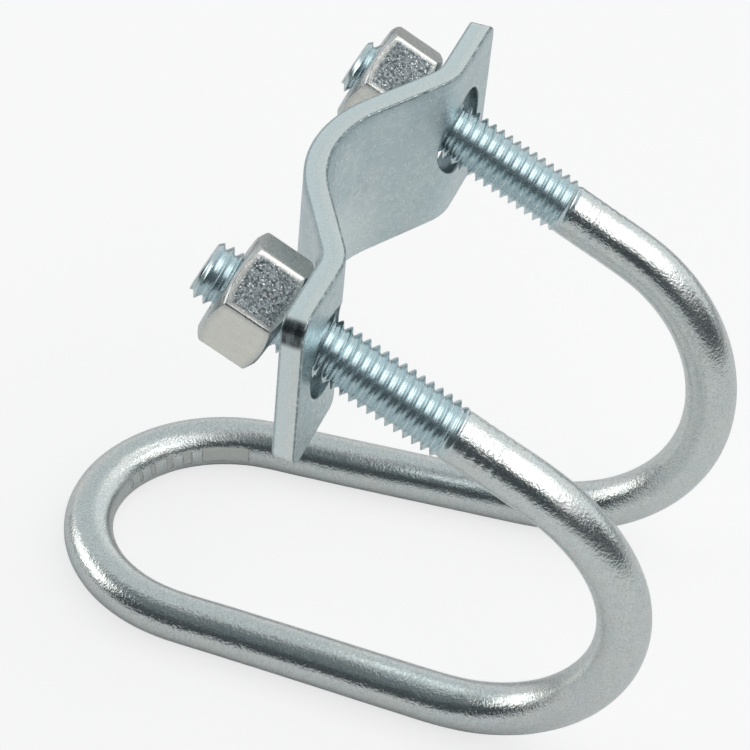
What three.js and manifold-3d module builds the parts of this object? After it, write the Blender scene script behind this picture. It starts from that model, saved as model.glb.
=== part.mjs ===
// Folded-eye U-bolt with saddle plate: a rail-mount pad eye.
// One round rod is bent to a U, and the closed end of the U is folded back under the legs, so that
// the two bends make hooks round a rail and the closed end makes the eye. A saddle plate sits on
// the two threaded legs, with a hexagon nut behind it on each leg.
//
// Millimetres, +Z up. The eye lies flat on the ground plane z = 0. The bends rise from its +X end,
// and the threaded legs slope back over the eye, up towards -X. The front leg is on the -Y side.
// Origin: on the ground, in the middle of the object's footprint.
//
// Leg frame, used while building: X along the legs towards the bends, Z square to the plane of
// the legs, origin midway between the legs where the bends begin.
import * as THREE from "three";
import { mergeVertices } from "three/addons/utils/BufferGeometryUtils.js";
import Module from "manifold-3d";

const { degToRad } = THREE.MathUtils;

// ---- rod ----
const ROD_D = 5.3; // smooth rod, the blank of a rolled M6 thread
const ROD_SIDES = 24;
const ROD_STEPS = 92; // sections swept along the whole centre line
const BEND_R = 18.75; // at the rod's centre line
const BEND_ANGLE = degToRad(152);
const BEND_LEN = BEND_R * BEND_ANGLE;
const EYE_RUN = 28.4; // straight run from the bend to the eye's round end
const EYE_START = BEND_LEN + EYE_RUN; // arc length at the start of the round end
const EYE_HALF = 14.07; // half the spacing there
const EYE_DEPTH = 15.94; // depth of the round end
const LEG_HALF = 18.0; // half the leg spacing, centre to centre
const LEG_SLOPE = Math.PI - BEND_ANGLE; // legs to ground
const BENDS_X = 12.785; // the bends' centre of curvature, from the origin

// Spans between the points that guide the centre line
const LEG_SPANS = 3;
const BEND_SPANS = 18;
const RUN_SPANS = 5;
const EYE_SPANS = 14;

// Half spacing of the two sides: [arc length past the start of the bend, half spacing, slope]
const SPACING_KNOTS = [
  [0, LEG_HALF, 0],
  [BEND_LEN / 2, 16.39, -0.047],
  [BEND_LEN, 15.41, -0.045],
  [EYE_START, EYE_HALF, -0.03],
];

// ---- threaded ends ----
const THREAD_D = 5.9; // crest diameter of the rolled M6 x 1 thread, modelled plain
const THREAD_SEGMENTS = 36;
const END_CHAMFER = 0.65;
const TAPER_BEFORE = 0.5; // the taper to the smooth rod begins this far before threadStart
const TAPER_AFTER = 0.6; // and ends this far after it
const TAPER_INSET = 0.02; // its small end lies this far under the rod's surface
const ROD_LAP = 0.2; // the swept rod begins this far past threadStart, inside the taper

// Each leg: side is the sign of y; end, threadStart and nutSeat (the nut's bearing face) are
// x in the leg frame.
const LEGS = {
  front: { side: -1, end: -36.0, threadStart: -8.3, nutSeat: -27.35, nutTurn: degToRad(2.5) },
  rear: { side: 1, end: -34.2, threadStart: -8.0, nutSeat: -26.9, nutTurn: degToRad(0.5) },
};

// ---- saddle plate ----
const PLATE_T = 2.3;
const PLATE_W = 17.4;
const PLATE_HALF = 25.6; // half the length across both ears
const HOLE_HALF = 18.4; // half the hole spacing
const HOLE_D = 8.8;
const HOLE_SEGMENTS = 40;
const HOLE_CUT_OVER = 2; // the hole cutter stands out this far past each face of the ear
const ARCH_R = 12.5; // inside radius of the arch
const ARCH_RISE = 7.0; // inside of the arch behind the ears' inside face
const ARCH_SLOPE = degToRad(31.4); // steepest slope, on the straight flanks
const ARCH_SPANS = 8; // along half the arch
const EAR_BEND_R = 6.0; // inside-face radius where the arch runs into an ear
const EAR_BEND_SPANS = 6;
const PLATE_TILT = degToRad(24.3); // the plate leans, it is not square to the legs
const PLATE_YAW = degToRad(-1.4);
const PLATE_AT = [-22.1, 0.03, 9.25]; // middle of the ears' outside face, in the tilted frame

// ---- nuts ----
const NUT_AF = 10.4; // across flats
const NUT_H = 6.1;
const NUT_FACE_D = 9.7; // flat ring left inside the chamfer
const NUT_CHAMFER = degToRad(30);
const CHAMFER_OVER = 0.4; // the chamfering body reaches this far past the corners
const CHAMFER_SEGMENTS = 48;
const BORE_D = 6.2;
const BORE_SINK = 0.35; // depth of the 45 degree countersink at each end
const BORE_CUT_OVER = 0.5; // the bore cutter stands out this far past each face
const BORE_SEGMENTS = 36;

// ---- finishes ----
const METALNESS = 0.95;
const ROD_FINISH = { color: 0xb4bcc0, roughness: 0.28 };
const PLATE_FINISH = { color: 0xb7c4c8, roughness: 0.42 };
const NUT_FINISH = { color: 0xb9b8b0, roughness: 0.38 };

// ---- solids ----
const wasm = await Module();
wasm.setup();

// Normals and uvs go first, so that vertices along the seams merge and the solid closes.
function solid(geometry) {
  const bare = geometry.clone();
  bare.deleteAttribute("normal");
  bare.deleteAttribute("uv");
  const merged = mergeVertices(bare, 1e-4);
  return new wasm.Manifold(
    new wasm.Mesh({
      numProp: 3,
      vertProperties: new Float32Array(merged.attributes.position.array),
      triVerts: new Uint32Array(merged.index.array),
    }),
  );
}

// Flat-shaded geometry of a solid.
function geometryOf(body) {
  const mesh = body.getMesh();
  const positions = new Float32Array(mesh.vertProperties);
  const indexed = new THREE.BufferGeometry();
  indexed.setAttribute("position", new THREE.BufferAttribute(positions, 3));
  indexed.setIndex(new THREE.BufferAttribute(new Uint32Array(mesh.triVerts), 1));
  const flat = indexed.toNonIndexed();
  flat.computeVertexNormals();
  return flat;
}

// A body turned about X, from [x, radius] pairs that start and end on the axis.
function turned(profile, segments) {
  const lathe = new THREE.LatheGeometry(
    profile.map(([x, radius]) => new THREE.Vector2(radius, x)),
    segments,
  );
  lathe.rotateZ(-Math.PI / 2);
  return solid(lathe);
}

// ---- the rod's centre line ----
// "along" is the arc length past the start of the bend, negative on the straight leg.

// Cubic Hermite interpolation through SPACING_KNOTS.
function halfSpacing(along) {
  if (along <= 0) return LEG_HALF;
  let i = 0;
  while (i < SPACING_KNOTS.length - 2 && along > SPACING_KNOTS[i + 1][0]) i++;
  const [start, startHalf, startSlope] = SPACING_KNOTS[i];
  const [end, endHalf, endSlope] = SPACING_KNOTS[i + 1];
  const length = end - start;
  const t = (along - start) / length;
  return (
    startHalf * (2 * t ** 3 - 3 * t ** 2 + 1) +
    length * startSlope * (t ** 3 - 2 * t ** 2 + t) +
    endHalf * (-2 * t ** 3 + 3 * t ** 2) +
    length * endSlope * (t ** 3 - t ** 2)
  );
}

// A point at side distance y: straight leg, round bend, then straight on in the eye's plane.
function rodPoint(along, y) {
  if (along <= 0) return new THREE.Vector3(along, y, 0);
  const angle = Math.min(along / BEND_R, BEND_ANGLE);
  const beyond = Math.max(along - BEND_LEN, 0);
  return new THREE.Vector3(
    BEND_R * Math.sin(angle) + beyond * Math.cos(BEND_ANGLE),
    y,
    BEND_R * (Math.cos(angle) - 1) - beyond * Math.sin(BEND_ANGLE),
  );
}

// One side of the rod, from its threaded end to the start of the eye's round end.
function sidePoints({ side, threadStart }) {
  const from = threadStart + ROD_LAP;
  const stations = [];
  for (let i = 0; i <= LEG_SPANS; i++) stations.push(from * (1 - i / LEG_SPANS));
  for (let i = 1; i <= BEND_SPANS; i++) stations.push((BEND_LEN * i) / BEND_SPANS);
  for (let i = 1; i <= RUN_SPANS; i++) stations.push(BEND_LEN + (EYE_RUN * i) / RUN_SPANS);
  return stations.map((along) => rodPoint(along, side * halfSpacing(along)));
}

// The eye's round end, a half ellipse from the front side to the rear side.
function roundEndPoints() {
  const points = [];
  for (let i = 1; i < EYE_SPANS; i++) {
    const angle = (Math.PI * i) / EYE_SPANS;
    const along = EYE_START + EYE_DEPTH * Math.sin(angle);
    points.push(rodPoint(along, -EYE_HALF * Math.cos(angle)));
  }
  return points;
}

function centreLine() {
  return new THREE.CatmullRomCurve3(
    [...sidePoints(LEGS.front), ...roundEndPoints(), ...sidePoints(LEGS.rear).reverse()],
    false,
    "centripetal",
  );
}

// ---- u_bolt ----
function sweptRod() {
  const step = (2 * Math.PI) / ROD_SIDES;
  // corner radius that gives the polygon the round rod's area
  const cornerR = (ROD_D / 2) * Math.sqrt(step / Math.sin(step));
  const corners = Array.from({ length: ROD_SIDES }, (_, i) => {
    const angle = (2 * Math.PI * i) / ROD_SIDES;
    return new THREE.Vector2(cornerR * Math.cos(angle), cornerR * Math.sin(angle));
  });
  return solid(
    new THREE.ExtrudeGeometry(new THREE.Shape(corners), {
      steps: ROD_STEPS,
      extrudePath: centreLine(),
      bevelEnabled: false,
      curveSegments: 1,
    }),
  );
}

function threadedEnd({ side, end, threadStart }) {
  const crestR = THREAD_D / 2;
  const taperEnd = threadStart + TAPER_AFTER;
  const profile = [
    [end, 0],
    [end, crestR - END_CHAMFER],
    [end + END_CHAMFER, crestR],
    [threadStart - TAPER_BEFORE, crestR],
    [taperEnd, ROD_D / 2 - TAPER_INSET],
    [taperEnd, 0],
  ];
  return turned(profile, THREAD_SEGMENTS).translate([0, side * LEG_HALF, 0]);
}

function uBolt() {
  let body = sweptRod();
  for (const leg of Object.values(LEGS)) body = body.add(threadedEnd(leg));
  return geometryOf(body);
}

// ---- saddle_plate ----
// Half of one face of the section, from the ear's tip to the middle of the arch, as [x, y] with
// x from the ears' outside face towards the bends. Offset 0 is the inside face (towards the
// bends), PLATE_T the outside face.
function saddleLine(offset) {
  const archR = ARCH_R + offset;
  const archX = PLATE_T - ARCH_RISE + ARCH_R; // arch centre, at y = 0
  const bendR = EAR_BEND_R - offset;
  const bendX = PLATE_T - EAR_BEND_R;
  // The arch runs into the ear bend at ARCH_SLOPE, touching it, which fixes the bend's centre.
  const bendY =
    (ARCH_R + EAR_BEND_R - (archX - bendX) * Math.cos(ARCH_SLOPE)) / Math.sin(ARCH_SLOPE);
  const points = [[PLATE_T - offset, PLATE_HALF]];
  for (let i = 0; i <= EAR_BEND_SPANS; i++) {
    const angle = (ARCH_SLOPE * i) / EAR_BEND_SPANS;
    points.push([bendX + bendR * Math.cos(angle), bendY - bendR * Math.sin(angle)]);
  }
  for (let i = 0; i <= ARCH_SPANS; i++) {
    const angle = ARCH_SLOPE * (1 - i / ARCH_SPANS);
    points.push([archX - archR * Math.cos(angle), archR * Math.sin(angle)]);
  }
  return points;
}

// A whole face from its half; the middle point is not repeated.
function mirrored(half) {
  const otherHalf = half.slice(0, -1).reverse();
  return [...half, ...otherHalf.map(([x, y]) => [x, -y])];
}

function saddlePlate() {
  const inside = mirrored(saddleLine(0));
  const outside = mirrored(saddleLine(PLATE_T)).reverse();
  const section = new THREE.Shape(
    [...inside, ...outside].map(([x, y]) => new THREE.Vector2(x, y)),
  );
  const strip = new THREE.ExtrudeGeometry(section, { depth: PLATE_W, bevelEnabled: false });
  strip.translate(0, 0, -PLATE_W / 2);
  let body = solid(strip);
  for (const side of [-1, 1]) {
    const hole = new THREE.CylinderGeometry(
      HOLE_D / 2,
      HOLE_D / 2,
      PLATE_T + 2 * HOLE_CUT_OVER,
      HOLE_SEGMENTS,
    );
    hole.rotateZ(Math.PI / 2);
    hole.translate(PLATE_T / 2, side * HOLE_HALF, 0);
    body = body.subtract(solid(hole));
  }
  return geometryOf(body);
}

// ---- hex nuts ----
// Axis along X, bearing face at x = 0, body towards -X.
function hexNut() {
  const cornerR = NUT_AF / Math.sqrt(3);
  const prism = new THREE.CylinderGeometry(cornerR, cornerR, NUT_H, 6);
  prism.rotateZ(-Math.PI / 2);
  prism.translate(-NUT_H / 2, 0, 0);

  const faceR = NUT_FACE_D / 2;
  const outerR = cornerR + CHAMFER_OVER;
  const drop = (outerR - faceR) * Math.tan(NUT_CHAMFER);
  const chamferProfile = [
    [-NUT_H, 0],
    [-NUT_H, faceR],
    [-NUT_H + drop, outerR],
    [-drop, outerR],
    [0, faceR],
    [0, 0],
  ];

  const boreR = BORE_D / 2;
  const mouthR = boreR + BORE_SINK + BORE_CUT_OVER;
  const boreProfile = [
    [-NUT_H - BORE_CUT_OVER, 0],
    [-NUT_H - BORE_CUT_OVER, mouthR],
    [-NUT_H + BORE_SINK, boreR],
    [-BORE_SINK, boreR],
    [BORE_CUT_OVER, mouthR],
    [BORE_CUT_OVER, 0],
  ];

  return geometryOf(
    solid(prism)
      .intersect(turned(chamferProfile, CHAMFER_SEGMENTS))
      .subtract(turned(boreProfile, BORE_SEGMENTS)),
  );
}

// ---- assembly ----
function piece(name, geometry, finish) {
  const material = new THREE.MeshStandardMaterial({ ...finish, metalness: METALNESS });
  const mesh = new THREE.Mesh(geometry, material);
  mesh.name = name;
  return mesh;
}

const assembly = new THREE.Group();
assembly.name = "folded_eye_u_bolt";

// the leg frame, set so that the eye's underside lies on z = 0
const legFrame = new THREE.Group();
legFrame.rotation.y = LEG_SLOPE;
legFrame.position.set(
  BENDS_X + BEND_R * Math.sin(LEG_SLOPE),
  0,
  BEND_R * (1 + Math.cos(LEG_SLOPE)) + ROD_D / 2,
);
assembly.add(legFrame);
legFrame.add(piece("u_bolt", uBolt(), ROD_FINISH));

const tiltFrame = new THREE.Group();
tiltFrame.rotation.y = -PLATE_TILT;
const plate = piece("saddle_plate", saddlePlate(), PLATE_FINISH);
plate.position.set(...PLATE_AT);
plate.rotation.z = PLATE_YAW;
tiltFrame.add(plate);
legFrame.add(tiltFrame);

for (const [name, { side, nutSeat, nutTurn }] of Object.entries(LEGS)) {
  const nut = piece("hex_nut_" + name, hexNut(), NUT_FINISH);
  nut.position.set(nutSeat, side * LEG_HALF, 0);
  nut.rotation.x = nutTurn;
  legFrame.add(nut);
}

export default assembly;
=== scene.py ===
# A bent U-bolt with a saddle plate and two hex nuts, all in bright zinc.
#
# The rod's closed end, the eye, lies flat on the floor and points to -X. Two bends at +X
# turn the legs back over it, so that they rise towards -X at 28 degrees. The front leg is
# at -Y and the rear leg at +Y. Both legs pass through the plate, with a nut behind it.
#
# Shapes are built in the leg frame, in mm: X runs along the legs from their ends to the
# bends, Y across them, and Z square to both, upwards. The bends start at x = 0.
import math
import bmesh
import bpy
import numpy as np
from mathutils import Matrix


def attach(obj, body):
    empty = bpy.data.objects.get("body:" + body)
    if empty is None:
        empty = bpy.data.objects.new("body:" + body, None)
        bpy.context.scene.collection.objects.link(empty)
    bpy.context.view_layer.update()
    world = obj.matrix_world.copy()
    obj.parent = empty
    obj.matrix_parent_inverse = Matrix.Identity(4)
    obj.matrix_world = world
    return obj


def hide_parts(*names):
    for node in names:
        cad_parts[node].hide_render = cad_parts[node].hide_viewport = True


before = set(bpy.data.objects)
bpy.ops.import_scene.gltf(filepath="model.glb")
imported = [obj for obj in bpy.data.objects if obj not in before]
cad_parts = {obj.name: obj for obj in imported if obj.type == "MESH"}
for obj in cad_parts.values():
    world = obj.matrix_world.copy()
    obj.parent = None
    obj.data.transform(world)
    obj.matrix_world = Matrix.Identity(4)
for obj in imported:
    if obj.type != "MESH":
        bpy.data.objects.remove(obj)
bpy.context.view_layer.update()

MM = 0.001
FULL_TURN = 2 * math.pi

# ------------------------------------------------------------------ dimensions, mm
ROD_R = 2.65
BEND_R = 18.75
BEND_ANGLE = math.radians(152)
SLOPE = math.pi - BEND_ANGLE           # of the legs above the floor
COS_SLOPE, SIN_SLOPE = math.cos(SLOPE), math.sin(SLOPE)
BENDS_AT = 12.785                      # world x where the bends meet the flat eye
EYE_RUN = 28.4                         # from the bends to the eye's rounded end
EYE_DEPTH = 15.94                      # of the rounded end
LEG_HALF = 18.0                        # half spacings of the centre line
BEND_HALF_MID = 16.39
BEND_HALF_END = 15.41
EYE_HALF = 14.07
LEG_Y = {"front": -LEG_HALF, "rear": LEG_HALF}
LEG_END = {"front": -36.0, "rear": -34.2}

PITCH = 1.0
CREST_R = 2.965
THREAD_DEPTH = 0.60
THREAD_START = {"front": -8.3, "rear": -8.0}
CREST_AT = {"front": 0.15, "rear": 0.55}   # where a crest crosses the +Y side of the leg

PLATE_T = 2.3
PLATE_W = 17.4
PLATE_HALF = 25.6
HOLE_HALF = 18.4                       # from the middle to a hole
HOLE_R = 4.4
ARCH_R = 12.5                          # inside radius of the arch in the middle
ARCH_RISE = 7.0
ARCH_SLOPE = math.radians(31.4)
EAR_BEND_R = 6.0                       # outside radius of the bends to the flat ears
PLATE_TILT = math.radians(24.3)
PLATE_YAW = math.radians(-1.4)
PLATE_AT = np.array([-22.1, 0.03, 9.25])   # before the tilt

NUT_AF = 10.4                          # across flats
NUT_H = 6.1
NUT_FACE_R = 4.85                      # where the chamfers start
NUT_CHAMFER = math.radians(30)
NUT_CORNER_R = 0.30
NUT_EDGE = 0.07                        # softened edge between chamfer and flat
NUT_MOUTH_R = 3.35                     # of the countersinks
NUT_MOUTH_DROP = 0.05
NUT_MINOR_R, NUT_MAJOR_R = 2.49, 3.08
NUT_SEAT = {"front": -27.35, "rear": -26.9}
NUT_TURN = {"front": math.radians(2.5), "rear": math.radians(0.5)}


# ------------------------------------------------------------------ shared helpers
def to_world(points):
    """Points of the leg frame, mm, as points of the world frame, metres."""
    x, y, z = points[:, 0], points[:, 1], points[:, 2]
    return np.stack(
        [
            COS_SLOPE * x + SIN_SLOPE * z + BEND_R * SIN_SLOPE + BENDS_AT,
            y,
            -SIN_SLOPE * x + COS_SLOPE * z + BEND_R * (1 + COS_SLOPE) + ROD_R,
        ],
        -1,
    ) * MM


def smoothstep(x, start, end):
    t = np.clip((x - start) / (end - start), 0, 1)
    return t * t * (3 - 2 * t)


def value_noise(points, seed):
    """Smooth value noise of points (..., 3), between -1 and 1."""
    cell = np.floor(points).astype(np.int64)
    part = points - cell
    part = part * part * (3 - 2 * part)
    total = np.zeros(points.shape[:-1])
    for corner in np.ndindex(2, 2, 2):
        at = cell + np.array(corner)
        bits = (at[..., 0] * 374761393 + at[..., 1] * 668265263
                + at[..., 2] * 2147483647 + seed * 974634777) & 0xFFFFFFFF
        bits = ((bits ^ (bits >> 13)) * 1274126177) & 0xFFFFFFFF
        bits = (bits ^ (bits >> 16)) & 0xFFFF
        weight = np.where(corner, part, 1 - part)
        total += (bits / 32767.5 - 1) * (weight[..., 0] * weight[..., 1] * weight[..., 2])
    return total


class Shape:
    """Points, faces and named values per point, gathered ring by ring."""

    def __init__(self):
        self.blocks = []
        self.count = 0
        self.faces = []
        self.values = {}

    def add(self, points, **values):
        """Add points with their values, one for all or one each. Returns their indices."""
        first, n = self.count, len(points)
        self.blocks.append(points)
        self.count += n
        for name, value in values.items():
            value = np.asarray(value, float)
            full = np.broadcast_to(value, (n,) + value.shape[1:])
            self.values.setdefault(name, []).append(full)
        return range(first, first + n)

    def points(self):
        return np.concatenate(self.blocks)

    def column(self, name):
        return np.concatenate(self.values[name])

    def strip(self, a, b, across=False):
        """Quads between two open rows; `across` steps to the other row first."""
        for i in range(len(a) - 1):
            j = i + 1
            self.faces.append((a[i], b[i], b[j], a[j]) if across else (a[i], a[j], b[j], b[i]))

    def band(self, a, b, across=False):
        """Quads between two closed rings."""
        self.strip([*a, a[0]], [*b, b[0]], across)

    def helix(self, rows, step, across=False):
        """Quads between helical rows: past its last column a row goes on as the row `step` away."""
        last = len(rows) - 1
        full = [[*row, rows[min(max(q + step, 0), last)][0]] for q, row in enumerate(rows)]
        for a, b in zip(full, full[1:]):
            self.strip(a, b, across)


def make_object(name, shape, sharp_deg):
    """A closed, smooth-shaded mesh object with the shape's values as point attributes."""
    merge = 2e-4 * MM
    mesh = bpy.data.meshes.new(name)
    clean = []
    for face in shape.faces:
        kept = [v for i, v in enumerate(face) if v != face[i - 1]]
        if len(set(kept)) == len(kept) and len(kept) > 2:
            clean.append(kept)
    mesh.from_pydata(to_world(shape.points()).tolist(), [], clean)
    for key in shape.values:
        values = shape.column(key).astype(np.float32)
        is_vector = values.ndim == 2
        attribute = mesh.attributes.new(key, "FLOAT_VECTOR" if is_vector else "FLOAT", "POINT")
        attribute.data.foreach_set("vector" if is_vector else "value", values.ravel())
    bm = bmesh.new()
    bm.from_mesh(mesh)
    bmesh.ops.remove_doubles(bm, verts=bm.verts, dist=merge)
    bmesh.ops.dissolve_degenerate(bm, edges=bm.edges, dist=merge / 2)
    loose = [v for v in bm.verts if not v.link_faces]
    bmesh.ops.delete(bm, geom=loose, context="VERTS")
    bmesh.ops.recalc_face_normals(bm, faces=bm.faces)
    if bm.calc_volume(signed=True) < 0:
        bmesh.ops.reverse_faces(bm, faces=bm.faces)
    bm.to_mesh(mesh)
    bm.free()
    mesh.polygons.foreach_set("use_smooth", [True] * len(mesh.polygons))
    mesh.set_sharp_from_angle(angle=math.radians(sharp_deg))
    mesh.update()
    ob = bpy.data.objects.new(name, mesh)
    bpy.context.scene.collection.objects.link(ob)
    return ob


# ------------------------------------------------------------------ the rod's centre line
BEND_LEN = BEND_R * BEND_ANGLE
RUN_END = BEND_LEN + EYE_RUN
# path length from the start of the bend, half spacing, its slope
SPACING = [
    (0.0, LEG_HALF, 0.0),
    (BEND_LEN / 2, BEND_HALF_MID, -0.047),
    (BEND_LEN, BEND_HALF_END, -0.045),
    (RUN_END, EYE_HALF, -0.03),
]
ROUGH_STEP = 0.2
EYE_STEPS = 240
LINE_STEP = 0.1
SOFT_SIGMA = 13                        # of the smoothing, in line steps
TWIST_CLEAR = 40                       # path at each end that keeps its frame untwisted


def half_spacing(path):
    """Half the distance between the two sides, by cubic pieces through SPACING."""
    if path <= 0:
        return LEG_HALF
    i = 0
    while i < len(SPACING) - 2 and path > SPACING[i + 1][0]:
        i += 1
    (start, half0, slope0), (end, half1, slope1) = SPACING[i:i + 2]
    length = end - start
    t = (path - start) / length
    return (half0 * (2 * t**3 - 3 * t**2 + 1) + length * slope0 * (t**3 - 2 * t**2 + t)
            + half1 * (-2 * t**3 + 3 * t**2) + length * slope1 * (t**3 - t**2))


def side_view(path):
    """x and z of the centre line, a path length past the start of the bend."""
    if path <= 0:
        return path, 0.0
    if path <= BEND_LEN:
        angle = path / BEND_R
        return BEND_R * math.sin(angle), BEND_R * (math.cos(angle) - 1)
    run = path - BEND_LEN
    return (BEND_R * math.sin(BEND_ANGLE) + run * math.cos(BEND_ANGLE),
            BEND_R * (math.cos(BEND_ANGLE) - 1) - run * math.sin(BEND_ANGLE))


EYE_X, EYE_Z = side_view(RUN_END)


def eye_point(angle):
    """A point of the eye's rounded end, from the front side at 0 to the rear side at pi."""
    reach = EYE_DEPTH * math.sin(angle)
    return (EYE_X + reach * math.cos(BEND_ANGLE), -EYE_HALF * math.cos(angle),
            EYE_Z - reach * math.sin(BEND_ANGLE))


def one_side(side, sign):
    points = []
    for path in np.arange(LEG_END[side], RUN_END, ROUGH_STEP):
        x, z = side_view(path)
        points.append((x, sign * half_spacing(path), z))
    return points


def path_lengths(points):
    return np.r_[0, np.cumsum(np.linalg.norm(np.diff(points, axis=0), axis=1))]


def centre_line():
    """Points from the front leg's end round to the rear leg's end, and their path lengths."""
    eye = [eye_point(math.pi * i / EYE_STEPS) for i in range(EYE_STEPS + 1)]
    points = np.array(one_side("front", -1) + eye + one_side("rear", 1)[::-1])
    # even spacing, then smoothed so that the joins have no kink
    lengths = path_lengths(points)
    keep = np.r_[True, np.diff(lengths) > 1e-6]
    points, lengths = points[keep], lengths[keep]
    count = int(round(lengths[-1] / LINE_STEP))
    t = np.linspace(0, lengths[-1], count + 1)
    even = np.stack([np.interp(t, lengths, points[:, k]) for k in range(3)], 1)
    reach = 4 * SOFT_SIGMA
    kernel = np.exp(-0.5 * (np.arange(-reach, reach + 1) / SOFT_SIGMA) ** 2)
    kernel /= kernel.sum()
    extended = np.concatenate([
        even[:1] * 2 - even[1:reach + 1][::-1],
        even,
        even[-1:] * 2 - even[-reach - 1:-1][::-1],
    ])
    soft = np.stack([np.convolve(extended[:, k], kernel, "valid") for k in range(3)], 1)
    return soft, path_lengths(soft)


LINE, LINE_S = centre_line()
TOTAL = LINE_S[-1]


def line_frames():
    """Tangent and two cross directions along the line. The latter start as Y, Z, end as -Y, Z."""
    tangent = np.gradient(LINE, axis=0)
    tangent /= np.linalg.norm(tangent, axis=1)[:, None]
    u_dir = np.zeros_like(tangent)
    u_dir[0] = (0, 1, 0)
    for i in range(1, len(tangent)):
        before, here = tangent[i - 1], tangent[i]
        turn = np.cross(before, here)
        u = u_dir[i - 1]
        u = u + np.cross(turn, u) + np.cross(turn, np.cross(turn, u)) / (1 + before @ here)
        u -= (u @ here) * here
        u_dir[i] = u / np.linalg.norm(u)
    v_dir = np.cross(tangent, u_dir)
    end = np.array([0.0, -1.0, 0.0])
    twist = math.atan2(end @ v_dir[-1], end @ u_dir[-1])
    angle = smoothstep(LINE_S, TWIST_CLEAR, TOTAL - TWIST_CLEAR) * twist
    u_dir = u_dir * np.cos(angle)[:, None] + v_dir * np.sin(angle)[:, None]
    return tangent, u_dir, np.cross(tangent, u_dir)


FRAMES = line_frames()


def line_at(path):
    """Centre, tangent and the two cross directions at path lengths from the front leg's end."""
    return [np.stack([np.interp(path, LINE_S, column) for column in table.T], -1)
            for table in (LINE, *FRAMES)]


# ------------------------------------------------------------------ thread form
FORM_TURNS = [0, 0.02, 0.045, 0.39, 0.44, 0.5]      # distance from a crest
FORM_HEIGHT = [1.0, 0.995, 0.95, 0.05, 0.01, 0.0]
TIP_R = 2.42                           # the leg's end, and its chamfer's rise per mm
TIP_TAPER = 0.95


def form(turns):
    """Height of the thread form, 0 at the root and 1 at the crest, by phase (0 is a crest)."""
    return np.interp(np.abs((turns + 0.5) % 1.0 - 0.5), FORM_TURNS, FORM_HEIGHT)


def bolt_radius(s, angle, side):
    """Radius of the leg, s mm in from its end, at an angle about its own X."""
    length = THREAD_START[side] - LEG_END[side]
    turns = (s - CREST_AT[side]) / PITCH - angle / FULL_TURN
    thread = CREST_R - THREAD_DEPTH + THREAD_DEPTH * form(turns)
    run_out = smoothstep(s, length - 1.5, length + 0.35)
    return np.minimum(thread * (1 - run_out) + ROD_R * run_out, TIP_R + s * TIP_TAPER)


# ------------------------------------------------------------------ rod
ROD_SIDES = 72
ROD_ANGLES = 2 * np.pi * np.arange(ROD_SIDES) / ROD_SIDES
ROWS_PER_TURN = 14
THREAD_TAIL = 0.9                      # modelled with the thread, past its run-out
# end face: fraction of the rim's radius, depth into the rod
END_RINGS = [(0.965, -0.02), (0.90, -0.028), (0.72, 0.0), (0.5, 0.05), (0.28, 0.075), (0.12, 0.08)]
END_DEPTH = 0.08
END_TAG = 0.55
# flats on the inside of the eye's rounded end:
# degrees past the tip towards the rear side, half length, depth, softness
PRESSED = [
    (13.5, 0.20, 0.05, 0.10), (21.2, 0.26, 0.07, 0.12), (29.4, 0.34, 0.09, 0.12),
    (39.6, 0.42, 0.14, 0.12), (49.2, 0.60, 0.15, 0.13), (68.2, 3.05, 0.16, 0.22),
]
PRESS_LIFT = 0.12                      # how far the flats turn up from the floor
WORLD_UP = np.array([-SIN_SLOPE, 0.0, COS_SLOPE])
FAINT_LEN = 7.2                        # finely divided length past each thread
FAINT_DEPTH = 0.050
FINE_STEP, PRESS_STEP, PLAIN_STEP = 0.11, 0.14, 0.5


def wobble(points):
    return 0.010 * value_noise(points / 3.1, 3) + 0.006 * value_noise(points / 1.1, 5)


def on_leg(side, s, radius):
    """Points of a leg s mm in from its end, and their place along and about the rod."""
    # the leg's own X is the tangent on the front leg and against it on the rear leg
    path, angle = (s, ROD_ANGLES) if side == "front" else (TOTAL - s, -ROD_ANGLES)
    centre, _, u_dir, v_dir = line_at(path)
    cos, sin = np.cos(angle), np.sin(angle)
    points = centre + radius[:, None] * (cos[:, None] * u_dir + sin[:, None] * v_dir)
    return points, np.stack([path, radius * cos, radius * sin], -1)


def thread_length(side):
    return THREAD_START[side] - LEG_END[side] + THREAD_TAIL


def add_thread(shape, side):
    """The threaded part of a leg, in rows that follow the helix. Returns its rows."""
    length = thread_length(side)
    last = int(math.ceil((length / PITCH + 1.0) * ROWS_PER_TURN)) + 1
    columns = np.arange(ROD_SIDES) / ROD_SIDES
    rows = []
    for q in range(-ROWS_PER_TURN, last + 1):
        s = CREST_AT[side] - PITCH + PITCH * (q / ROWS_PER_TURN + columns)
        s = np.clip(s, 0.0, length)
        radius = bolt_radius(s, ROD_ANGLES, side)
        points, _ = on_leg(side, s, radius)
        fade = 1 - smoothstep(s, length - 1.2, length - 0.2)
        points, lay = on_leg(side, s, radius + wobble(points) * fade)
        tag = 1 - smoothstep(s, length - 1.6, length - 0.4)
        rows.append(shape.add(points, tag=tag, lay=lay, pressed=0.0))
    shape.helix(rows, ROWS_PER_TURN)
    return rows


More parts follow.
